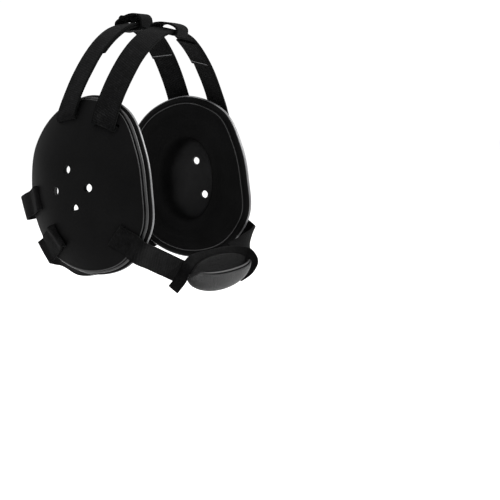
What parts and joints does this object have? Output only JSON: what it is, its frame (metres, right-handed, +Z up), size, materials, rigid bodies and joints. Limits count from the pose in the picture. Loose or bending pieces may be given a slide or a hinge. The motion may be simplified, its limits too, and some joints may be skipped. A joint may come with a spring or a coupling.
{
  "type": "wrestling ear guard",
  "caption": "Soft-strapped head guard with domed, vented ear cups, lined ear pockets, webbing over the crown and behind the head, and a padded chin cup.",
  "frame": {"origin": "middle of the crown link's underside, where the guard rests on the top of the head", "axes": "+X to the wearer's left, -Y to the front, +Z up"},
  "size_m": [0.2378, 0.1651, 0.2344],
  "materials": {
    "shell": "black moulded shell with a fine satin grain",
    "welt": "dark grey piping bead, slightly glossy",
    "pad": "black vinyl skin over soft foam",
    "webbing": "black brushed webbing with a fuzzy loop face",
    "chin_leather": "black grained leather, satin"
  },
  "bodies": {
    "root": {"ear_shell_right": "shell", "ear_shell_left": "shell", "edge_welt_right": "welt", "edge_welt_left": "welt", "ear_pad_right": "pad", "ear_pad_left": "pad", "crown_strap_front": "webbing", "crown_strap_rear": "webbing", "crown_lap_front": "webbing", "crown_lap_rear": "webbing", "crown_link": "webbing", "rear_strap_upper": "webbing", "rear_strap_lower": "webbing", "chin_strap_right": "webbing", "chin_strap_left": "webbing", "chin_band": "webbing", "chin_pad": "chin_leather", "chin_cover": "chin_leather"}
  },
  "joints": []
}
